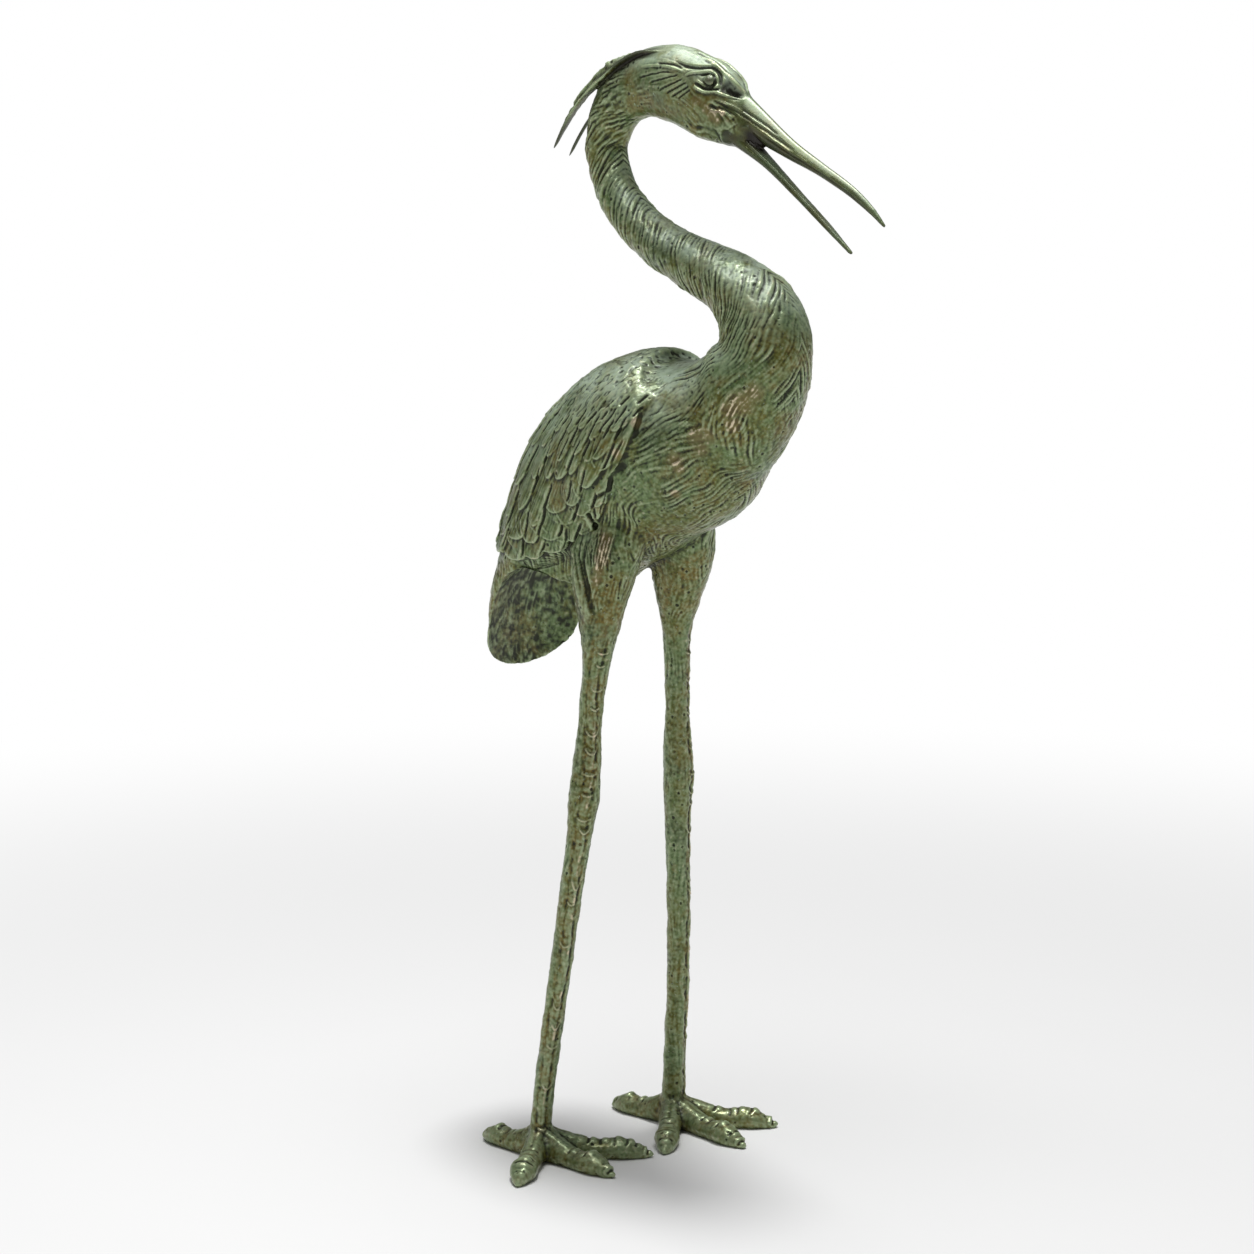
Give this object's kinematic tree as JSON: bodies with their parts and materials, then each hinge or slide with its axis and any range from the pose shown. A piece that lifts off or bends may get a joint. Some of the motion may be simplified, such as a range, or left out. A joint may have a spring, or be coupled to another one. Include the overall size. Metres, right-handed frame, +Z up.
{
  "type": "heron garden statue",
  "caption": "Standing heron cast in bronze, with an S-shaped neck, open bill, crest plumes and folded wings, resting on its own spread feet.",
  "frame": {"origin": "on the ground, under the middle of the statue's bounding box", "axes": "+X the way the bird faces, +Y its left side, +Z up"},
  "size_m": [0.4842, 0.3272, 1.1123],
  "materials": {
    "bronze": "waxed green patina with worn bronze high spots"
  },
  "bodies": {
    "root": {"heron": "bronze"}
  },
  "joints": []
}
